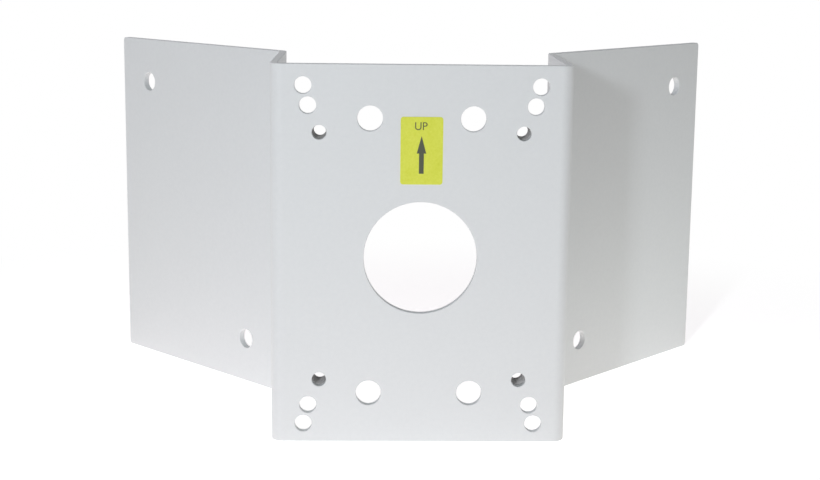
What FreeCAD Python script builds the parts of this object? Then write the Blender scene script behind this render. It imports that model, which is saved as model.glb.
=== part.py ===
import FreeCAD, Part
import math
import os

import Sketcher

# Corner mount bracket for a camera arm: one folded steel sheet that sits on the outside
# corner of a wall, four threaded bushes welded behind its front plate, and a direction
# label stuck on the plate.
#
# Frame: +Z up, the front plate faces -Y, and the bracket is symmetric about X = 0.
# The origin is the centre of the cable hole on the plate's front skin.

SIZES = [
    # the sheet and its bends
    ("sheet_thickness", 4.0),
    ("bend_radius", 2.5),
    ("bracket_height", 205.5),
    ("centre_drop", 0.5),
    ("plate_width", 160.0),
    ("web_depth", 88.0),
    ("wing_length", 153.0),
    ("wing_angle", 45.0),
    ("corner_radius", 2.0),
    ("edge_break", 0.4),
    # the holes of the front plate
    ("cable_hole_diameter", 60.5),
    ("arm_hole_diameter", 13.5),
    ("arm_hole_spacing", 54.5),
    ("arm_hole_end_inset", 28.0),
    ("small_hole_diameter", 9.0),
    ("small_hole_side_inset", 17.5),
    ("small_hole_end_inset", 10.75),
    ("small_pair_side_step", 2.5),
    ("small_pair_end_step", 10.5),
    # the holes of the wings
    ("wall_hole_diameter", 11.5),
    ("wall_hole_margin", 27.0),
    ("wall_hole_bend_margin", 32.5),
    # the threaded bushes behind the plate
    ("bush_bore_diameter", 6.8),
    ("bush_mouth_diameter", 8.2),
    ("bush_outer_diameter", 13.0),
    ("bush_length", 13.0),
    ("bush_weld_leg", 1.5),
    ("bush_edge", 0.6),
    ("bush_side_inset", 26.0),
    ("bush_end_inset", 35.5),
    # the direction label
    ("label_width", 22.4),
    ("label_height", 36.4),
    ("label_thickness", 0.2),
    ("label_corner_radius", 1.5),
    ("label_gap", 9.2),
]

# What a sketch constraint calls a line's ends, an arc's centre, and the sketch's own axes
START, END, CENTRE = 1, 2, 3
X_AXIS, Y_AXIS = -1, -2
ORIGIN = (X_AXIS, START)

doc = FreeCAD.newDocument("corner_bracket")
sheet = doc.addObject("Spreadsheet::Sheet", "Sizes")
for row, (alias, value) in enumerate(SIZES, start=1):
    sheet.set(f"A{row}", alias)
    sheet.set(f"B{row}", str(value))
    sheet.setAlias(f"B{row}", alias)
doc.recompute()
size = {alias: float(sheet.get(alias)) for alias, _ in SIZES}

# Expressions that several features share. The holes of the plate keep their insets from
# its edges, and all of them lie a little lower than the middle of its height.
HALF_WIDTH = "Sizes.plate_width / 2"
HALF_HEIGHT = "Sizes.bracket_height / 2"
TOP = f"({HALF_HEIGHT} + Sizes.centre_drop)"
BOTTOM = f"({HALF_HEIGHT} - Sizes.centre_drop)"


def vec(x, y, z=0.0):
    return FreeCAD.Vector(x, y, z)


def new_body(label):
    body = doc.addObject("PartDesign::Body", label)
    body.Label = label
    return body


def origin_plane(body, role):
    return next(feature for feature in body.Origin.OriginFeatures if feature.Role == role)


def new_sketch(body, role, name):
    sketch = body.newObject("Sketcher::SketchObject", name)
    sketch.AttachmentSupport = [(origin_plane(body, role), "")]
    sketch.MapMode = "FlatFace"
    return sketch


def bind(sketch, name, expression, *constraint):
    """Adds a named dimension to a sketch and ties it to the sizes."""
    index = sketch.addConstraint(Sketcher.Constraint(*constraint))
    sketch.renameConstraint(index, name)
    sketch.setExpression(f"Constraints.{name}", expression)


def fix(sketch, kind, *constraints):
    for constraint in constraints:
        sketch.addConstraint(Sketcher.Constraint(kind, *constraint))


def closed_outline(sketch, corners):
    """Draws straight lines from corner to corner and back to the first."""
    count = len(corners)
    for index, corner in enumerate(corners):
        sketch.addGeometry(Part.LineSegment(corner, corners[(index + 1) % count]))
    fix(sketch, "Coincident", *((i, END, (i + 1) % count, START) for i in range(count)))
    return range(count)


def circle(sketch, centre, diameter):
    return sketch.addGeometry(Part.Circle(centre, vec(0, 0, 1), diameter / 2))


def finish(body, feature):
    body.Tip = feature
    doc.recompute()
    return feature


def cut_through(body, sketch, name):
    """Cuts a sketch's circles through the sheet behind the sketch's plane."""
    doc.recompute()
    before = body.Shape.Volume
    pocket = body.newObject("PartDesign::Pocket", name)
    pocket.Profile = sketch
    pocket.Type = "ThroughAll"
    finish(body, pocket)
    if body.Shape.Volume >= before:
        raise RuntimeError(f"{name} cuts nothing")
    return pocket


def soften(body, kind, name, wanted, measure, expression):
    """Rounds or bevels the edges that a test picks out from a body's last shape."""
    base = body.Tip
    shape = base.Shape
    edges = enumerate(shape.Edges, start=1)
    names = [f"Edge{index}" for index, edge in edges if wanted(shape, edge)]
    feature = body.newObject(kind, name)
    feature.Base = (base, names)
    feature.setExpression(measure, expression)
    return finish(body, feature)


# The folded sheet: its right half is one profile seen from above, from the plate's middle
# round two bends to the free edge of the wing, and the left half is its mirror image.
def half_profile(body):
    thick = size["sheet_thickness"]
    inner = size["bend_radius"]
    outer = inner + thick
    half = size["plate_width"] / 2
    angle = math.radians(size["wing_angle"])
    along = vec(math.cos(angle), math.sin(angle))
    behind = vec(-math.sin(angle), math.cos(angle)) * thick
    fold = vec(half, size["web_depth"])
    setback = inner * math.tan((math.pi / 2 - angle) / 2)
    front_centre = vec(half - outer, outer)
    rear_centre = vec(half + inner, fold.y - setback)
    wing_start = fold + along * setback
    wing_end = fold + along * size["wing_length"]
    front_turn = (-math.pi / 2, 0)
    rear_turn = (angle + math.pi / 2, math.pi)

    sketch = new_sketch(body, "XY_Plane", "plan_profile")

    def line(start, end):
        return sketch.addGeometry(Part.LineSegment(start, end))

    def arc(centre, radius, turn):
        whole = Part.Circle(centre, vec(0, 0, 1), radius)
        return sketch.addGeometry(Part.ArcOfCircle(whole, *turn))

    plate_front = line(vec(0, 0), vec(front_centre.x, 0))
    front_outer = arc(front_centre, outer, front_turn)
    web_front = line(vec(half, outer), vec(half, rear_centre.y))
    rear_inner = arc(rear_centre, inner, rear_turn)
    wing_front = line(wing_start, wing_end)
    free_edge = line(wing_end, wing_end + behind)
    wing_back = line(wing_end + behind, wing_start + behind)
    rear_outer = arc(rear_centre, outer, rear_turn)
    web_back = line(vec(half - thick, rear_centre.y), vec(half - thick, outer))
    front_inner = arc(front_centre, inner, front_turn)
    plate_back = line(vec(front_centre.x, thick), vec(0, thick))
    middle = line(vec(0, thick), vec(0, 0))
    fold_point = sketch.addGeometry(Part.Point(fold))

    fix(sketch, "Tangent",
        (plate_front, END, front_outer, START),
        (front_outer, END, web_front, START),
        (web_front, END, rear_inner, END),
        (rear_inner, START, wing_front, START),
        (wing_back, END, rear_outer, START),
        (rear_outer, END, web_back, START),
        (web_back, END, front_inner, END),
        (front_inner, START, plate_back, START))
    fix(sketch, "Coincident",
        (plate_front, START, *ORIGIN),
        (wing_front, END, free_edge, START),
        (free_edge, END, wing_back, START),
        (plate_back, END, middle, START),
        (middle, END, plate_front, START),
        (front_outer, CENTRE, front_inner, CENTRE),
        (rear_inner, CENTRE, rear_outer, CENTRE))
    fix(sketch, "Horizontal", (plate_front,), (plate_back,))
    fix(sketch, "Vertical", (web_front,), (middle,))
    fix(sketch, "Perpendicular", (free_edge, wing_front))
    fix(sketch, "PointOnObject", (fold_point, START, web_front), (fold_point, START, wing_front))

    bind(sketch, "thickness", "Sizes.sheet_thickness",
         "DistanceY", plate_front, START, plate_back, END, thick)
    bind(sketch, "front_bend", "Sizes.bend_radius", "Radius", front_inner, inner)
    bind(sketch, "rear_bend", "Sizes.bend_radius", "Radius", rear_inner, inner)
    bind(sketch, "half_width", HALF_WIDTH, "DistanceX", *ORIGIN, fold_point, START, fold.x)
    bind(sketch, "web_depth", "Sizes.web_depth", "DistanceY", *ORIGIN, fold_point, START, fold.y)
    bind(sketch, "wing_length", "Sizes.wing_length",
         "Distance", fold_point, START, wing_front, END, size["wing_length"])
    bind(sketch, "wing_angle", "Sizes.wing_angle", "Angle", wing_front, angle)
    sketch.setExpression(".AttachmentOffset.Base.z", f"-{BOTTOM}")
    doc.recompute()
    return sketch


# The right wing has one hole near its free upper corner and one near its lower bend. The
# sketch lies on the wing's front skin, with its origin on the fold.
def wall_holes(body):
    sketch = new_sketch(body, "XZ_Plane", "wall_holes")
    turn = FreeCAD.Rotation(vec(0, 1, 0), size["wing_angle"])
    sketch.AttachmentOffset = FreeCAD.Placement(vec(0, 0, 0), turn)
    sketch.setExpression(".AttachmentOffset.Rotation.Angle", "Sizes.wing_angle")
    sketch.setExpression(".AttachmentOffset.Base.x", HALF_WIDTH)
    sketch.setExpression(".AttachmentOffset.Base.z", "-Sizes.web_depth")

    far = size["wing_length"] - size["wall_hole_margin"]
    near = size["wall_hole_bend_margin"]
    reach = size["bracket_height"] / 2 - size["wall_hole_margin"]
    upper = circle(sketch, vec(far, reach), size["wall_hole_diameter"])
    lower = circle(sketch, vec(near, -reach), size["wall_hole_diameter"])
    bind(sketch, "upper_along", "Sizes.wing_length - Sizes.wall_hole_margin",
         "DistanceX", *ORIGIN, upper, CENTRE, far)
    bind(sketch, "upper_rise", f"{TOP} - Sizes.wall_hole_margin",
         "DistanceY", *ORIGIN, upper, CENTRE, reach)
    bind(sketch, "lower_along", "Sizes.wall_hole_bend_margin",
         "DistanceX", *ORIGIN, lower, CENTRE, near)
    bind(sketch, "lower_fall", f"{BOTTOM} - Sizes.wall_hole_margin",
         "DistanceY", lower, CENTRE, *ORIGIN, reach)
    bind(sketch, "hole_diameter", "Sizes.wall_hole_diameter",
         "Diameter", upper, size["wall_hole_diameter"])
    fix(sketch, "Equal", (upper, lower))
    return cut_through(body, sketch, "wall_hole_cuts")


def cable_hole(body):
    sketch = new_sketch(body, "XZ_Plane", "cable_hole")
    hole = circle(sketch, vec(0, 0), size["cable_hole_diameter"])
    fix(sketch, "Coincident", (hole, CENTRE, *ORIGIN))
    bind(sketch, "hole_diameter", "Sizes.cable_hole_diameter",
         "Diameter", hole, size["cable_hole_diameter"])
    cut_through(body, sketch, "cable_hole_cut")


def four_holes(body, name, across, rise, diameter):
    """Four equal holes round the cable hole, at the corners of an upright rectangle.

    across and rise are expressions of their distances from its centre.
    """
    sketch = new_sketch(body, "XZ_Plane", name)
    start = size["plate_width"] / 4
    holes = []
    for index, (side, end) in enumerate(((-1, 1), (1, 1), (-1, -1), (1, -1))):
        hole = circle(sketch, vec(side * start, end * start), size[diameter])
        run = (*ORIGIN, hole, CENTRE) if side > 0 else (hole, CENTRE, *ORIGIN)
        climb = (*ORIGIN, hole, CENTRE) if end > 0 else (hole, CENTRE, *ORIGIN)
        bind(sketch, f"across_{index}", across, "DistanceX", *run, start)
        bind(sketch, f"rise_{index}", rise, "DistanceY", *climb, start)
        holes.append(hole)
    bind(sketch, "hole_diameter", f"Sizes.{diameter}", "Diameter", holes[0], size[diameter])
    fix(sketch, "Equal", *((holes[0], hole) for hole in holes[1:]))
    cut_through(body, sketch, name + "_cuts")


BUSH_ACROSS = f"({HALF_WIDTH} - Sizes.bush_side_inset)"
BUSH_RISE = f"({HALF_HEIGHT} - Sizes.bush_end_inset)"


def plate_holes(body):
    cable_hole(body)
    four_holes(body, "arm_holes", "Sizes.arm_hole_spacing / 2",
               f"{HALF_HEIGHT} - Sizes.arm_hole_end_inset", "arm_hole_diameter")
    four_holes(body, "small_outer_holes", f"{HALF_WIDTH} - Sizes.small_hole_side_inset",
               f"{HALF_HEIGHT} - Sizes.small_hole_end_inset", "small_hole_diameter")
    four_holes(body, "small_inner_holes",
               f"{HALF_WIDTH} - Sizes.small_hole_side_inset - Sizes.small_pair_side_step",
               f"{HALF_HEIGHT} - Sizes.small_hole_end_inset - Sizes.small_pair_end_step",
               "small_hole_diameter")
    four_holes(body, "bush_holes", BUSH_ACROSS, BUSH_RISE, "bush_mouth_diameter")


def is_sharp(shape, edge):
    """True where the two faces at an edge meet at an angle, and false at a bend's start."""
    first, last = edge.ParameterRange
    point = edge.valueAt((first + last) / 2)
    normals = []
    for face in shape.ancestorsOfType(edge, Part.Face):
        normals.append(face.normalAt(*face.Surface.parameter(point)))
    return normals[0].dot(normals[-1]) < 0.5


def folded_sheet():
    body = new_body("folded_sheet")
    half = body.newObject("PartDesign::Pad", "half_sheet")
    half.Profile = half_profile(body)
    half.setExpression("Length", "Sizes.bracket_height")
    finish(body, half)
    holes = wall_holes(body)
    whole = body.newObject("PartDesign::Mirrored", "whole_sheet")
    whole.Originals = [half, holes]
    whole.MirrorPlane = (origin_plane(body, "YZ_Plane"), [""])
    finish(body, whole)
    plate_holes(body)

    # The four free corners of the wings are rounded off. Their edges cross the sheet.
    thick = size["sheet_thickness"]
    reach = max(vertex.X for vertex in body.Shape.Vertexes)

    def at_free_corner(shape, edge):
        crosses = abs(edge.Length - thick) < thick / 100
        return crosses and abs(edge.CenterOfMass.x) > reach - thick

    soften(body, "PartDesign::Fillet", "rounded_corners", at_free_corner,
           "Radius", "Sizes.corner_radius")

    # The outline's cut edges and the cable hole's rims are broken, and bolt holes are crisp.
    cable_radius = size["cable_hole_diameter"] / 2

    def is_broken(shape, edge):
        if edge.isClosed():
            return abs(edge.Curve.Radius - cable_radius) < thick / 100
        return is_sharp(shape, edge)

    soften(body, "PartDesign::Chamfer", "broken_edges", is_broken, "Size", "Sizes.edge_break")
    return body


# A threaded bush: a turned steel sleeve welded square to the plate's back skin, in line with
# a hole of the plate. Its bore is the thread's inner diameter, countersunk at both ends.
def threaded_bush(label, side, end):
    body = new_body(label)
    bore = size["bush_bore_diameter"] / 2
    mouth = size["bush_mouth_diameter"] / 2
    outside = size["bush_outer_diameter"] / 2
    length = size["bush_length"]
    sink = mouth - bore
    weld = size["bush_weld_leg"]
    edge = size["bush_edge"]

    sketch = new_sketch(body, "XY_Plane", label + "_section")
    foot, bead, wall, rim_edge, rim, rear_sink, bore_wall, front_sink = closed_outline(sketch, [
        vec(mouth, 0),
        vec(outside + weld, 0),
        vec(outside, weld),
        vec(outside, length - edge),
        vec(outside - edge, length),
        vec(mouth, length),
        vec(bore, length - sink),
        vec(bore, sink),
    ])
    fix(sketch, "Horizontal", (foot,), (rim,))
    fix(sketch, "Vertical", (wall,), (bore_wall,))
    fix(sketch, "PointOnObject", (foot, START, X_AXIS))
    bind(sketch, "front_mouth", "Sizes.bush_mouth_diameter / 2",
         "DistanceX", *ORIGIN, foot, START, mouth)
    bind(sketch, "rear_mouth", "Sizes.bush_mouth_diameter / 2",
         "DistanceX", *ORIGIN, rear_sink, START, mouth)
    bind(sketch, "bore", "Sizes.bush_bore_diameter / 2",
         "DistanceX", *ORIGIN, bore_wall, START, bore)
    bind(sketch, "outside", "Sizes.bush_outer_diameter / 2",
         "DistanceX", *ORIGIN, wall, START, outside)
    bind(sketch, "length", "Sizes.bush_length", "DistanceY", *ORIGIN, rim, START, length)
    bind(sketch, "weld_run", "Sizes.bush_weld_leg", "DistanceX", bead, END, bead, START, weld)
    bind(sketch, "weld_rise", "Sizes.bush_weld_leg", "DistanceY", bead, START, bead, END, weld)
    bind(sketch, "edge_run", "Sizes.bush_edge", "DistanceX", rim_edge, END, rim_edge, START, edge)
    bind(sketch, "edge_rise", "Sizes.bush_edge", "DistanceY", rim_edge, START, rim_edge, END, edge)
    countersink = "(Sizes.bush_mouth_diameter - Sizes.bush_bore_diameter) / 2"
    bind(sketch, "rear_sink", countersink, "DistanceY", rear_sink, END, rear_sink, START, sink)
    bind(sketch, "front_sink", countersink, "DistanceY", front_sink, END, front_sink, START, sink)
    doc.recompute()

    turned = body.newObject("PartDesign::Revolution", label + "_turned")
    turned.Profile = sketch
    turned.ReferenceAxis = (sketch, ["V_Axis"])
    turned.Angle = 360.0
    finish(body, turned)
    body.setExpression(".Placement.Base.x", f"{side} * {BUSH_ACROSS}")
    body.setExpression(".Placement.Base.y", "Sizes.sheet_thickness")
    body.setExpression(".Placement.Base.z", f"{end} * {BUSH_RISE}")
    doc.recompute()
    return body


# The direction label: a rounded rectangle of film stuck on the plate above the cable hole.
def direction_label():
    body = new_body("direction_label")
    half = size["label_width"] / 2
    low = size["cable_hole_diameter"] / 2 + size["label_gap"]
    high = low + size["label_height"]

    sketch = new_sketch(body, "XZ_Plane", "label_outline")
    lower, right, upper, left = closed_outline(sketch, [
        vec(-half, low),
        vec(half, low),
        vec(half, high),
        vec(-half, high),
    ])
    fix(sketch, "Horizontal", (upper,))
    fix(sketch, "Vertical", (left,), (right,))
    fix(sketch, "Symmetric", (lower, START, lower, END, Y_AXIS))
    bind(sketch, "label_width", "Sizes.label_width", "DistanceX", lower, START, lower, END, 2 * half)
    bind(sketch, "label_height", "Sizes.label_height",
         "DistanceY", right, START, right, END, size["label_height"])
    bind(sketch, "above_hole", "Sizes.cable_hole_diameter / 2 + Sizes.label_gap",
         "DistanceY", *ORIGIN, lower, START, low)
    doc.recompute()

    film = body.newObject("PartDesign::Pad", "label_film")
    film.Profile = sketch
    film.setExpression("Length", "Sizes.label_thickness")
    finish(body, film)
    thick = size["label_thickness"]

    def crosses_film(shape, edge):
        return abs(edge.Length - thick) < thick / 100

    soften(body, "PartDesign::Fillet", "label_corners", crosses_film,
           "Radius", "Sizes.label_corner_radius")
    return body


bodies = [folded_sheet(), direction_label()]
for end, end_name in ((1, "upper"), (-1, "lower")):
    for side, side_name in ((-1, "left"), (1, "right")):
        bodies.append(threaded_bush(f"threaded_bush_{end_name}_{side_name}", side, end))
doc.recompute()

for thing in doc.Objects:
    if "Invalid" in thing.State or "Error" in thing.State:
        raise RuntimeError(f"{thing.Label} failed: {thing.State}")
for body in bodies:
    if body.Shape.isNull() or not body.Shape.isValid() or len(body.Shape.Solids) != 1:
        raise RuntimeError(f"{body.Label} is not one valid solid")

os.makedirs("parts", exist_ok=True)
for body in bodies:
    body.Shape.exportStep(f"parts/{body.Label}.step")
    print(f"{body.Label}: {body.Shape.Volume / 1000:.3f} cubic centimetres")
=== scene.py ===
import math

import bmesh
import bpy
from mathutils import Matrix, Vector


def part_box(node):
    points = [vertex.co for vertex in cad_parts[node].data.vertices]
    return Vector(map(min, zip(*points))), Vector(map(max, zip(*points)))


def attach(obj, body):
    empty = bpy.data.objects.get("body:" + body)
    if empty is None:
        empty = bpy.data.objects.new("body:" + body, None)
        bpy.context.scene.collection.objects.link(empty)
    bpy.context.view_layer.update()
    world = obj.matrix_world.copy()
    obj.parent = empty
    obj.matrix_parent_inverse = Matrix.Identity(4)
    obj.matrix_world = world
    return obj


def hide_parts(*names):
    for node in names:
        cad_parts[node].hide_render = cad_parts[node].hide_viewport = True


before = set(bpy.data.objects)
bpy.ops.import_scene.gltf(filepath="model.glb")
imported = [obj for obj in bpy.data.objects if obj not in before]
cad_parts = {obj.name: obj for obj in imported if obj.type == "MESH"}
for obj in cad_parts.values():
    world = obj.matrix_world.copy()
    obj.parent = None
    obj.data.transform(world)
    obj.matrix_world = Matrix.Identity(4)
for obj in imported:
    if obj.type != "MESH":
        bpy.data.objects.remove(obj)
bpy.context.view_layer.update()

# The folded sheet. One blank of 4 mm steel, cut and pierced flat, then folded four times
# into a front plate, two webs and two wings that lie on the two sides of a wall corner.
# It is powder coated in light grey after its bushes are welded on.
MM = 0.001
TOUCH = 0.01 * MM      # places closer than this count as the same
MERGE = 0.001 * MM
PLATE_WIDTH = 160.0 * MM
WEB_DEPTH = 88.0 * MM
WING_LENGTH = 153.0 * MM
WING_ANGLE = math.radians(45)
SHEET = 4.0 * MM
BEND = 2.5 * MM
CORNER = 2.0 * MM
EDGE_ROUND = 0.4 * MM
SHARP_TURN = math.radians(60)

COAT_COLOUR = (0.735, 0.771, 0.782)
COAT_COLOUR_LOW = (0.700, 0.738, 0.752)
COAT_GRAIN = 4200.0    # how fine each pattern of the coat is, the finest first
COAT_PEEL = 1100.0
COAT_MOTTLE = 420.0
COAT_CLOUD = 9.0

sheet_low, sheet_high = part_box("folded_sheet")


def start(add, **place):
    """Adds a primitive with nothing else selected, and opens it in edit mode."""
    bpy.ops.object.select_all(action="DESELECT")
    add(**place)
    bpy.ops.object.transform_apply(location=True, rotation=True, scale=True)
    bpy.ops.object.mode_set(mode="EDIT")
    return bpy.context.object


def pick(obj, kind, wanted):
    """Selects the vertices, edges or faces of the open mesh that pass a test."""
    bpy.ops.mesh.select_mode(type=kind)
    bpy.ops.mesh.select_all(action="DESELECT")
    mesh = bmesh.from_edit_mesh(obj.data)
    for part in {"VERT": mesh.verts, "EDGE": mesh.edges, "FACE": mesh.faces}[kind]:
        if wanted(part):
            part.select_set(True)
    bmesh.update_edit_mesh(obj.data)


def draw_out(*step):
    """Extrudes the selected edges or faces by a step."""
    bpy.ops.mesh.extrude_region_move(TRANSFORM_OT_translate={"value": step})


def close(obj, name):
    """Points the faces outwards, leaves edit mode and names the piece."""
    bpy.ops.mesh.select_all(action="SELECT")
    bpy.ops.mesh.remove_doubles(threshold=MERGE)
    bpy.ops.mesh.normals_make_consistent(inside=False)
    bpy.ops.object.mode_set(mode="OBJECT")
    obj.name = name
    obj.data.name = name
    return obj


def modify(obj, kind, **settings):
    """Gives a piece a modifier and applies it."""
    bpy.context.view_layer.objects.active = obj
    modifier = obj.modifiers.new(kind, kind)
    for name, value in settings.items():
        setattr(modifier, name, value)
    bpy.ops.object.modifier_apply(modifier=modifier.name)


def put(obj, place, turn=(0, 0, 0)):
    """Turns and moves a piece, and leaves its object at the origin."""
    bpy.ops.object.select_all(action="DESELECT")
    obj.select_set(True)
    bpy.context.view_layer.objects.active = obj
    obj.location = place
    obj.rotation_euler = turn
    bpy.ops.object.transform_apply(location=True, rotation=True, scale=True)
    return obj


def twin(obj, name):
    """A copy of a piece with a mesh of its own."""
    copy = obj.copy()
    copy.data = obj.data.copy()
    copy.name = name
    copy.data.name = name
    bpy.context.collection.objects.link(copy)
    return copy


def cut(obj, tool):
    """Cuts a tool out of a piece and throws the tool away."""
    modify(obj, "BOOLEAN", operation="DIFFERENCE", solver="EXACT", object=tool)
    bpy.data.objects.remove(tool)


def turned(profile, steps, name):
    """Turns pairs of radius and height round Z: a disc drawn out ring by ring."""
    radius, height = profile[0]
    obj = start(bpy.ops.mesh.primitive_circle_add, vertices=steps, radius=radius,
                fill_type="NGON", location=(0, 0, height))
    bpy.ops.mesh.select_mode(type="FACE")
    for wider, higher in profile[1:]:
        draw_out(0, 0, higher - height)
        bpy.ops.transform.resize(value=(wider / radius, wider / radius, 1),
                                 center_override=(0, 0, higher))
        radius, height = wider, higher
    return close(obj, name)


def smooth(obj, angle):
    """Smooth shading that keeps flat faces flat up to their rounded edges."""
    bpy.ops.object.select_all(action="DESELECT")
    obj.select_set(True)
    bpy.context.view_layer.objects.active = obj
    bpy.ops.object.shade_smooth_by_angle(angle=math.radians(angle))
    modify(obj, "WEIGHTED_NORMAL", weight=100, keep_sharp=True)


def ends(edge):
    return [vert.co for vert in edge.verts]


def is_fold(edge, y):
    """Whether an upright edge stands where the plate meets a web, or a web its wing."""
    return all(abs(abs(p.x) - PLATE_WIDTH / 2) < TOUCH and abs(p.y - y) < TOUCH
               for p in ends(edge))


# Its front skin: the plate, drawn out backwards into the webs and then into the wings. The
# wing is made longer by what the rounding takes off its tip, so that it ends with the solid.
folded = start(bpy.ops.mesh.primitive_plane_add, size=PLATE_WIDTH,
               rotation=(math.pi / 2, 0, 0))
for end, edge_height in ((1, sheet_high.z), (-1, sheet_low.z)):
    pick(folded, "VERT", lambda vert: vert.co.z * end > 0)
    bpy.ops.transform.translate(value=(0, 0, edge_height - end * PLATE_WIDTH / 2))
tip_reach = (PLATE_WIDTH / 2 + WING_LENGTH * math.cos(WING_ANGLE)
             - EDGE_ROUND * (math.sqrt(2) - 1))
wing_run = WING_LENGTH + (sheet_high.x - tip_reach) / math.cos(WING_ANGLE)
for side in (-1, 1):
    pick(folded, "EDGE", lambda edge: all(
        abs(p.x - side * PLATE_WIDTH / 2) < TOUCH for p in ends(edge)))
    draw_out(0, WEB_DEPTH, 0)
    draw_out(side * wing_run * math.cos(WING_ANGLE), wing_run * math.sin(WING_ANGLE), 0)

# The folds, on this front skin: the outside of the bends at the plate, the inside of the
# bends at the wings. Then the round corners of the wings, the thickness and the cut edges.
pick(folded, "EDGE", lambda edge: is_fold(edge, 0))
bpy.ops.mesh.bevel(offset=BEND + SHEET, segments=18, affect="EDGES")
pick(folded, "EDGE", lambda edge: is_fold(edge, WEB_DEPTH))
bpy.ops.mesh.bevel(offset=BEND * math.tan(WING_ANGLE / 2), segments=9, affect="EDGES")
tip_x = PLATE_WIDTH / 2 + wing_run * math.cos(WING_ANGLE)
pick(folded, "VERT", lambda vert: abs(abs(vert.co.x) - tip_x) < TOUCH)
bpy.ops.mesh.bevel(offset=CORNER, segments=8, affect="VERTICES")
close(folded, "painted_sheet")
if sum(face.normal.y * face.area for face in folded.data.polygons) > 0:
    folded.data.flip_normals()
modify(folded, "SOLIDIFY", thickness=SHEET, offset=-1, use_even_offset=True)
modify(folded, "BEVEL", width=EDGE_ROUND, segments=3, limit_method="ANGLE",
       angle_limit=SHARP_TURN, use_clamp_overlap=False)

# Its holes. Each is cut by a spool whose waist is the hole and whose flanges stand clear of
# the sheet, with the slightly rounded rims between them.
RIM_ROUND = 0.35 * MM
RIM_TURNS = (80, 54, 27, 0)
FLANGE_PAST = 0.8 * MM
FLANGE_OUTER = 1.0 * MM
FLANGE_INNER = 0.14 * MM


def hole_tool(diameter, steps):
    """The spool for one hole; Z runs into the sheet."""
    radius = diameter / 2
    flange = radius + RIM_ROUND + FLANGE_PAST
    front = [(flange, -FLANGE_OUTER), (flange, -FLANGE_INNER)]
    for turn in map(math.radians, RIM_TURNS):
        front.append((radius + RIM_ROUND * (1 - math.cos(turn)),
                      RIM_ROUND * (1 - math.sin(turn))))
    back = [(reach, SHEET - depth) for reach, depth in reversed(front)]
    return turned(front + back, steps, "hole_tool")


PLATE_HOLES = [
    # diameter, steps round it, and its places on the plate's front skin
    (60.5 * MM, 160, [(0, 0)]),
    (13.5 * MM, 72, [(x, z) for x in (-27.25, 27.25) for z in (-74.75, 74.75)]),
    (9.0 * MM, 64, [(x, z) for x in (-62.5, 62.5) for z in (-92.0, 92.0)]),
    (9.0 * MM, 64, [(x, z) for x in (-60.0, 60.0) for z in (-81.5, 81.5)]),
    (7.6 * MM, 64, [(x, z) for x in (-54.0, 54.0) for z in (-67.25, 67.25)]),
]
WALL_HOLE = 11.5 * MM
WALL_HOLES = [(126.0, 76.25), (32.5, -75.25)]   # along the wing from its fold, and height
WALL_HOLE_STEPS = 64
INTO_PLATE = (-math.pi / 2, 0, 0)

tools = []
for diameter, steps, places in PLATE_HOLES:
    tool = hole_tool(diameter, steps)
    for x, z in places:
        tools.append(put(twin(tool, "hole"), (x * MM, 0, z * MM), INTO_PLATE))
    bpy.data.objects.remove(tool)
tool = hole_tool(WALL_HOLE, WALL_HOLE_STEPS)
for side in (-1, 1):
    for along, z in WALL_HOLES:
        place = (side * (PLATE_WIDTH / 2 + along * MM * math.cos(WING_ANGLE)),
                 WEB_DEPTH + along * MM * math.sin(WING_ANGLE), z * MM)
        into_wing = (-math.pi / 2, 0, side * WING_ANGLE)
        tools.append(put(twin(tool, "hole"), place, into_wing))
bpy.data.objects.remove(tool)
bpy.ops.object.select_all(action="DESELECT")
for tool in tools:
    tool.select_set(True)
bpy.context.view_layer.objects.active = tools[0]
bpy.ops.object.join()
cut(folded, tools[0])
smooth(folded, 35)


class Shade:
    """A socket of a material. Arithmetic on it adds Math nodes, and node() any other."""

    def __init__(self, tree, socket=None):
        self.tree = tree
        self.socket = socket

    def node(self, kind, settings=None, sockets=None, output=0):
        node = self.tree.nodes.new(kind)
        for name, value in (settings or {}).items():
            setattr(node, name, value)
        for name, value in (sockets or {}).items():
            if isinstance(value, Shade):
                self.tree.links.new(value.socket, node.inputs[name])
            else:
                node.inputs[name].default_value = value
        return Shade(self.tree, node.outputs[output] if len(node.outputs) else None)

    def math(self, operation, first, second):
        return self.node("ShaderNodeMath", {"operation": operation}, {0: first, 1: second})

    def __add__(self, other):
        return self.math("ADD", self, other)

    def __radd__(self, other):
        return self.math("ADD", other, self)

    def __sub__(self, other):
        return self.math("SUBTRACT", self, other)

    def __rsub__(self, other):
        return self.math("SUBTRACT", other, self)

    def __mul__(self, other):
        return self.math("MULTIPLY", self, other)

    def __rmul__(self, other):
        return self.math("MULTIPLY", other, self)


def new_material(name, kind="materials"):
    """An empty material or world, ready for nodes."""
    block = getattr(bpy.data, kind).new(name)
    block.use_nodes = True
    block.node_tree.nodes.clear()
    return block, Shade(block.node_tree)


def noise(base, place, scale, detail=2.0, roughness=0.5):
    return base.node("ShaderNodeTexNoise", None,
                     {"Vector": place, "Scale": scale, "Detail": detail,
                      "Roughness": roughness})


def blend(base, factor, low, high):
    """A colour between two colours."""
    return base.node("ShaderNodeMix", {"data_type": "RGBA"},
                     {0: factor, 6: (*low, 1), 7: (*high, 1)}, output=2)


def surface(base, **sockets):
    """Ends a material in one Principled shader."""
    names = {"colour": "Base Color", "roughness": "Roughness", "metallic": "Metallic",
             "normal": "Normal"}
    shader = base.node("ShaderNodeBsdfPrincipled", None,
                       {names[name]: value for name, value in sockets.items()})
    base.node("ShaderNodeOutputMaterial", None, {"Surface": shader})


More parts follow.
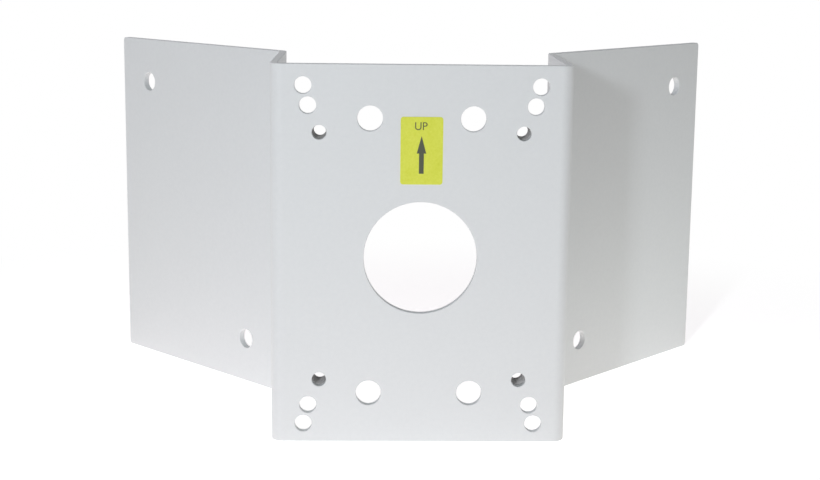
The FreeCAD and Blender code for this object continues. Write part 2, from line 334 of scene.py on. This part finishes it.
# Its coat: satin powder, very slightly mottled, with the fine dimples of such a coat.
coat, base = new_material("powder_coat")
place = base.node("ShaderNodeTexCoord", output=3)
cloud = noise(base, place, COAT_CLOUD, detail=3.0)
mottle = noise(base, place, COAT_MOTTLE, detail=3.0, roughness=0.6)
peel = noise(base, place, COAT_PEEL, detail=1.5)
grain = noise(base, place, COAT_GRAIN, detail=1.0)
speck = peel * 0.5 + grain * 0.5
relief = base.node("ShaderNodeBump", None,
                   {"Strength": 0.25, "Distance": 0.02 * MM,
                    "Height": peel * 0.7 + grain * 0.3})
surface(base, colour=blend(base, (cloud - 0.5) * 0.5 + (mottle - 0.5) * 1.4 + 0.5,
                           COAT_COLOUR_LOW, COAT_COLOUR),
        roughness=0.46 + cloud * 0.08 + speck * 0.10, normal=relief)
folded.data.materials.append(coat)
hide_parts("folded_sheet")
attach(folded, "root")

# The threaded bushes. Four turned steel sleeves stand behind the plate, each with a ring of
# weld round its foot, and take the bolts of the camera's arm. The thread was masked while
# the bracket was coated, so it is bare steel, and the outside is coated with the sheet.
BUSH_LENGTH = 13.0 * MM
BUSH_RADIUS = 6.5 * MM
BUSH_EDGE = 0.6 * MM
BUSH_STEPS = 96
WELD_LEG = 1.5 * MM
WELD_RIPPLES = 24
RIPPLE_FROM = 0.3 * MM
RIPPLE_TO = 1.3 * MM
RIPPLE_SHRINK = 0.985
THREAD_CORE = 3.4 * MM
THREAD_TOP = 4.0 * MM
THREAD_PITCH = 1.25 * MM
THREAD_STEPS = 48
FLANK_ANGLE = math.radians(30)
TAP_PAST = 0.5 * MM
SPARE_TURNS = 5
SINK_RADIUS = 4.1 * MM
SINK_PAST = 0.4 * MM
SINK_DEPTH = 0.9 * MM

STEEL_DARK = (0.20, 0.20, 0.205)
STEEL_LIGHT = (0.58, 0.575, 0.565)

BUSHES = [
    # node, its axis on the plate in millimetres, and how far round its thread starts
    ("threaded_bush_upper_left", -54.0, 67.25, 20),
    ("threaded_bush_upper_right", 54.0, 67.25, 150),
    ("threaded_bush_lower_left", -54.0, -67.25, 265),
    ("threaded_bush_lower_right", 54.0, -67.25, 80),
]

# The sleeve: its ring of weld with small ripples, its straight wall and bevelled end.
SLEEVE = [
    # radius and height above the plate's back
    (BUSH_RADIUS + WELD_LEG, 0),
    (7.85 * MM, 0.4 * MM),
    (7.55 * MM, 0.8 * MM),
    (7.15 * MM, 1.15 * MM),
    (6.8 * MM, 1.38 * MM),
    (BUSH_RADIUS, WELD_LEG),
    (BUSH_RADIUS, BUSH_LENGTH - BUSH_EDGE - 0.1 * MM),
    (BUSH_RADIUS - 0.05 * MM, BUSH_LENGTH - BUSH_EDGE + 0.03 * MM),
    (BUSH_RADIUS - BUSH_EDGE + 0.03 * MM, BUSH_LENGTH - 0.05 * MM),
    (BUSH_RADIUS - BUSH_EDGE - 0.1 * MM, BUSH_LENGTH),
]
sleeve = turned(SLEEVE, BUSH_STEPS, "sleeve")
bpy.ops.object.mode_set(mode="EDIT")
pick(sleeve, "VERT", lambda vert: RIPPLE_FROM < vert.co.z < RIPPLE_TO
     and math.cos(WELD_RIPPLES * math.atan2(vert.co.y, vert.co.x)) < 0)
bpy.ops.transform.resize(value=(RIPPLE_SHRINK, RIPPLE_SHRINK, 1), center_override=(0, 0, 0))
close(sleeve, "sleeve")

# The tap that cuts its thread: one pitch of flats and flanks, wound up past both ends of
# the sleeve, then cut off flat and capped.
depth = THREAD_TOP - THREAD_CORE
flank = depth * math.tan(FLANK_ANGLE)
crest = THREAD_PITCH / 8
root = THREAD_PITCH - crest - 2 * flank
tap = start(bpy.ops.mesh.primitive_plane_add, size=2 * THREAD_CORE,
            location=(0, -THREAD_CORE, -2 * THREAD_PITCH))
pick(tap, "VERT", lambda vert: vert.co.x < 0 or vert.co.y < -TOUCH)
bpy.ops.mesh.delete(type="VERT")
pick(tap, "VERT", lambda vert: True)
for outwards, upwards in ((0, root), (depth, flank), (0, crest), (-depth, flank)):
    draw_out(outwards, 0, upwards)
bpy.ops.object.mode_set(mode="OBJECT")
modify(tap, "SCREW", angle=2 * math.pi, screw_offset=THREAD_PITCH, steps=THREAD_STEPS,
       render_steps=THREAD_STEPS,
       iterations=round(BUSH_LENGTH / THREAD_PITCH) + SPARE_TURNS)
bpy.ops.object.mode_set(mode="EDIT")
bpy.ops.mesh.select_all(action="SELECT")
bpy.ops.mesh.remove_doubles(threshold=MERGE)
for height, way in ((-TAP_PAST, -1), (BUSH_LENGTH + TAP_PAST, 1)):
    bpy.ops.mesh.select_all(action="SELECT")
    bpy.ops.mesh.bisect(plane_co=(0, 0, height), plane_no=(0, 0, way), use_fill=True,
                        clear_outer=True)
close(tap, "tap")
cut(sleeve, tap)

# Both mouths of its bore are countersunk at 45 degrees.
sink = [(SINK_RADIUS + SINK_PAST, -SINK_PAST), (SINK_RADIUS - SINK_DEPTH, SINK_DEPTH)]
cut(sleeve, turned(sink, BUSH_STEPS, "sink"))
cut(sleeve, put(turned(sink, BUSH_STEPS, "sink"), (0, 0, BUSH_LENGTH), (math.pi, 0, 0)))
smooth(sleeve, 32)

thread_steel, base = new_material("bare_thread_steel")
place = base.node("ShaderNodeTexCoord", output=3)
stain = noise(base, place, 420.0, detail=4.0, roughness=0.6)
turning = noise(base, base.node("ShaderNodeMapping", None,
                                {"Vector": place, "Scale": (900, 9000, 900)}), 1.0)
relief = base.node("ShaderNodeBump", None,
                   {"Strength": 0.3, "Distance": 0.01 * MM, "Height": turning})
surface(base, colour=blend(base, stain, STEEL_DARK, STEEL_LIGHT), metallic=0.4,
        roughness=0.40 + stain * 0.20, normal=relief)
sleeve.data.materials.append(coat)
sleeve.data.materials.append(thread_steel)
for face in sleeve.data.polygons:
    if math.hypot(face.center.x, face.center.y) < SINK_RADIUS:
        face.material_index = 1

for node, x, z, start_angle in BUSHES:
    bush = put(twin(sleeve, node.replace("threaded", "coated")), (0, 0, 0),
               (0, 0, math.radians(start_angle)))
    put(bush, (x * MM, SHEET, z * MM), INTO_PLATE)
    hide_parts(node)
    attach(bush, "root")
bpy.data.objects.remove(sleeve)

# The direction label. A small sheet of yellow-green film with rounded corners, stuck on the
# plate above the cable hole, and printed in dark grey with an arrow and the word UP.
FILM = 0.15 * MM
PRINT = 0.05 * MM
PRINT_SUNK = 0.004 * MM    # how deep the ink sits in the film
LABEL_CORNER = 1.5 * MM
LABEL_TRIM = 0.4 * MM      # what its foot lacks to the foot of the solid
ARROW_MIDDLE = -0.1
ARROW = [
    # half width and height on the plate, in millimetres, from the foot to the tip
    (1.26, 45.65), (1.26, 56.45), (2.52, 56.35), (0, 65.8),
]
WORD_WIDTH = 6.5 * MM
WORD_HEIGHT = 4.15 * MM
WORD_SIZE = WORD_HEIGHT * 1.4
WORD_THINNED = 0.01 * MM
WORD_LEFT = -3.6 * MM
WORD_FOOT = 68.85 * MM

FILM_COLOUR = (0.75, 0.81, 0.100)
FILM_COLOUR_LOW = (0.62, 0.69, 0.032)
INK_COLOUR = (0.036, 0.045, 0.025)
INK_COLOUR_LOW = (0.062, 0.074, 0.037)

label_low, label_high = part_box("direction_label")
label_foot = label_low.z + LABEL_TRIM
label_width = label_high.x - label_low.x
label_middle = (label_foot + label_high.z) / 2
label = start(bpy.ops.mesh.primitive_plane_add, size=label_width,
              location=((label_low.x + label_high.x) / 2, 0, label_middle),
              rotation=(math.pi / 2, 0, 0))
for end, edge_height in ((1, label_high.z), (-1, label_foot)):
    pick(label, "VERT", lambda vert: (vert.co.z - label_middle) * end > 0)
    lift = edge_height - label_middle - end * label_width / 2
    bpy.ops.transform.translate(value=(0, 0, lift))
bpy.ops.mesh.select_all(action="SELECT")
bpy.ops.mesh.bevel(offset=LABEL_CORNER, segments=8, affect="VERTICES")
close(label, "label_film")
if label.data.polygons[0].normal.y > 0:
    label.data.flip_normals()
modify(label, "SOLIDIFY", thickness=FILM, offset=1)
modify(label, "BEVEL", width=FILM / 3, segments=2, limit_method="ANGLE",
       angle_limit=SHARP_TURN, use_clamp_overlap=False)
smooth(label, 35)

# Its print: the arrow's outline and the word, each a flat curve with the ink's thickness.
arrow_line = bpy.data.curves.new("arrow", "CURVE")
arrow_line.dimensions = "2D"
arrow_line.fill_mode = "BOTH"
spline = arrow_line.splines.new("POLY")
points = ([(ARROW_MIDDLE + half, z) for half, z in ARROW]
          + [(ARROW_MIDDLE - half, z) for half, z in reversed(ARROW[:-1])])
spline.points.add(len(points) - 1)
for point, (x, z) in zip(spline.points, points):
    point.co = (x * MM, z * MM, 0, 1)
spline.use_cyclic_u = True


def printed(curve_object, name):
    """Makes a flat curve a thin solid of ink that faces up along Z."""
    bpy.ops.object.select_all(action="DESELECT")
    curve_object.select_set(True)
    bpy.context.view_layer.objects.active = curve_object
    bpy.ops.object.convert(target="MESH")
    piece = bpy.context.object
    bpy.ops.object.mode_set(mode="EDIT")
    return close(piece, name)


arrow_line.extrude = PRINT / 2
arrow = bpy.data.objects.new("arrow", arrow_line)
bpy.context.collection.objects.link(arrow)
arrow = printed(arrow, "label_arrow")

bpy.ops.object.select_all(action="DESELECT")
bpy.ops.object.text_add()
word = bpy.context.object
word.data.body = "UP"
word.data.size = WORD_SIZE
word.data.offset = -WORD_THINNED
word.data.extrude = PRINT / 2
word = printed(word, "label_word")
word_low = [min(v.co[axis] for v in word.data.vertices) for axis in range(2)]
word_high = [max(v.co[axis] for v in word.data.vertices) for axis in range(2)]
stretch = (WORD_WIDTH / (word_high[0] - word_low[0]),
           WORD_HEIGHT / (word_high[1] - word_low[1]))
for vert in word.data.vertices:
    vert.co.x = WORD_LEFT + (vert.co.x - word_low[0]) * stretch[0]
    vert.co.y = WORD_FOOT + (vert.co.y - word_low[1]) * stretch[1]

film, base = new_material("label_film")
place = base.node("ShaderNodeTexCoord", output=3)
mottle = noise(base, place, 700.0, detail=4.0, roughness=0.6)
patch = noise(base, place, 90.0, detail=2.0)
relief = base.node("ShaderNodeBump", None,
                   {"Strength": 0.15, "Distance": 0.02 * MM, "Height": mottle})
surface(base, colour=blend(base, (mottle - 0.5) * 1.2 + (patch - 0.5) * 0.8 + 0.5,
                           FILM_COLOUR_LOW, FILM_COLOUR),
        roughness=0.34 + patch * 0.12, normal=relief)
label.data.materials.append(film)
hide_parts("direction_label")
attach(label, "root")

ink, base = new_material("printing_ink")
place = base.node("ShaderNodeTexCoord", output=3)
speck = noise(base, place, 2600.0, detail=2.0)
relief = base.node("ShaderNodeBump", None,
                   {"Strength": 0.2, "Distance": 0.01 * MM, "Height": speck})
surface(base, colour=blend(base, speck, INK_COLOUR, INK_COLOUR_LOW),
        roughness=0.40 + speck * 0.15, normal=relief)
for piece in (arrow, word):
    put(piece, (0, PRINT_SUNK - FILM - PRINT / 2, 0), (math.pi / 2, 0, 0))
    piece.data.materials.append(ink)
    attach(piece, "root")

# The floor. A wide pale studio table that the bracket stands on. It is white to the
# camera wherever the light reaches it, and keeps the bracket's soft shadow near its foot.
FLOOR_SIZE = 40.0
FLOOR_DROP = 0.1 * MM
FLOOR_COLOUR = (0.84, 0.845, 0.85)
FLOOR_SEEN = (2.9, 2.9, 2.9)
SHADOW_SHARE = 0.55        # how much of what is seen near the bracket follows the light
SHADOW_MIDDLE = (0, 0.08)
SHADOW_NEAR = 0.22
SHADOW_FAR = 0.50

floor = start(bpy.ops.mesh.primitive_plane_add, size=FLOOR_SIZE,
              location=(0, 0, sheet_low.z - FLOOR_DROP))
close(floor, "studio_floor")


def seen(base):
    """One for rays that show the background: from the camera, mirrored or let through."""
    rays = [base.node("ShaderNodeLightPath", output=name)
            for name in ("Is Camera Ray", "Is Glossy Ray", "Is Transmission Ray")]
    return base.math("MINIMUM", rays[0] + rays[1] + rays[2], 1.0)


table, base = new_material("studio_table")
place = base.node("ShaderNodeTexCoord", output=3)
reach = base.node("ShaderNodeVectorMath", {"operation": "DISTANCE"},
                  {0: place, 1: (*SHADOW_MIDDLE, sheet_low.z)}, output=1)
far = base.node("ShaderNodeMapRange", {"interpolation_type": "SMOOTHSTEP"},
                {0: reach, 1: SHADOW_NEAR, 2: SHADOW_FAR, 3: 1 - SHADOW_SHARE, 4: 1.0})
lit = base.node("ShaderNodeBsdfDiffuse", None, {"Color": (*FLOOR_COLOUR, 1)})
bright = base.node("ShaderNodeBsdfDiffuse", None, {"Color": (*FLOOR_SEEN, 1)})
white = base.node("ShaderNodeEmission", None, {"Color": (1, 1, 1, 1), "Strength": 1.0})
shown = base.node("ShaderNodeMixShader", None, {0: far, 1: bright, 2: white})
mixed = base.node("ShaderNodeMixShader", None, {0: seen(base), 1: lit, 2: shown})
base.node("ShaderNodeOutputMaterial", None, {"Surface": mixed})
floor.data.materials.append(table)

# The air of the studio: an even weak light from all round, and white where it is seen.
AMBIENT = 0.243
world, base = new_material("studio_air", "worlds")
dim = base.node("ShaderNodeBackground", None, {"Color": (1, 1, 1, 1), "Strength": AMBIENT})
white = base.node("ShaderNodeBackground", None, {"Color": (1, 1, 1, 1), "Strength": 1.0})
mixed = base.node("ShaderNodeMixShader", None, {0: seen(base), 1: dim, 2: white})
base.node("ShaderNodeOutputWorld", None, {"Surface": mixed})
bpy.context.scene.world = world

# The studio lights. One small lamp in front on the left throws the shadow of the plate's
# side on the right wing, and a soft box shines from behind on the left. Two discs on the
# floor and a strip at the right wing's foot stand for the light that the table throws back.
LIGHTS = [
    # name, shape, place, aim, width and height in metres, watts, colour
    ("key_front", "RECTANGLE", (-0.505, -1.38, 0.39), (0, 0.05, 0), 0.09, 0.12,
     8.14, (0.908, 0.934, 0.988)),
    ("back_left", "RECTANGLE", (-1.0, 0.9, 0.8), (0, 0.1, 0), 0.8, 0.8,
     2.27, (1.0, 0.78, 0.92)),
    ("table_wide", "DISK", (0, 0.06, -0.10232), (0, 0.06, 1), 1.6, 1.6,
     3.97, (1.0, 0.920, 0.85)),
    ("table_near", "DISK", (0, 0.06, -0.10228), (0, 0.06, 1), 0.5, 0.5,
     0.116, (1.0, 0.784, 0.83)),
    ("foot_right", "RECTANGLE", (0.247, 0.071, -0.09), (0.155, 0.163, -0.08), 0.24, 0.02,
     0.0173, (0.86, 1.0, 0.913)),
]
for name, shape, place, aim, width, height, watts, colour in LIGHTS:
    lamp = bpy.data.lights.new(name, "AREA")
    lamp.shape = shape
    lamp.size = width
    lamp.size_y = height
    lamp.energy = watts
    lamp.color = colour
    lamp_object = bpy.data.objects.new(name, lamp)
    lamp_object.location = place
    way = [end - begin for begin, end in zip(place, aim)]
    lamp_object.rotation_euler = (math.atan2(math.hypot(way[0], way[1]), -way[2]), 0,
                                  math.atan2(-way[0], way[1]))
    lamp_object.visible_camera = False
    bpy.context.collection.objects.link(lamp_object)

# The camera. It stands a little left of the bracket's middle and looks slightly down on it,
# as fitted to the edges and holes of the photo. Its picture is cut a little off its axis.
FRAME_WIDTH = 820
SENSOR = 36.0
FOCUS_PIXELS = 1457.18
AXIS_RISE_PIXELS = 44.3
PIXEL_RIGHT = 0.5
CAMERA_PLACE = (-0.02636, -0.75963, 0.16553)
CAMERA_TURN = (80.16737, -0.66616, -1.44872)
camera = bpy.data.cameras.new("camera")
camera.sensor_width = SENSOR
camera.lens = SENSOR * FOCUS_PIXELS / FRAME_WIDTH
camera.shift_x = -PIXEL_RIGHT / FRAME_WIDTH
camera.shift_y = -AXIS_RISE_PIXELS / FRAME_WIDTH
camera.clip_start = 0.05
camera.clip_end = 100.0
camera_object = bpy.data.objects.new("camera", camera)
camera_object.location = CAMERA_PLACE
camera_object.rotation_euler = [math.radians(degrees) for degrees in CAMERA_TURN]
bpy.context.collection.objects.link(camera_object)
bpy.context.scene.camera = camera_object
bpy.context.scene.view_settings.view_transform = "Standard"
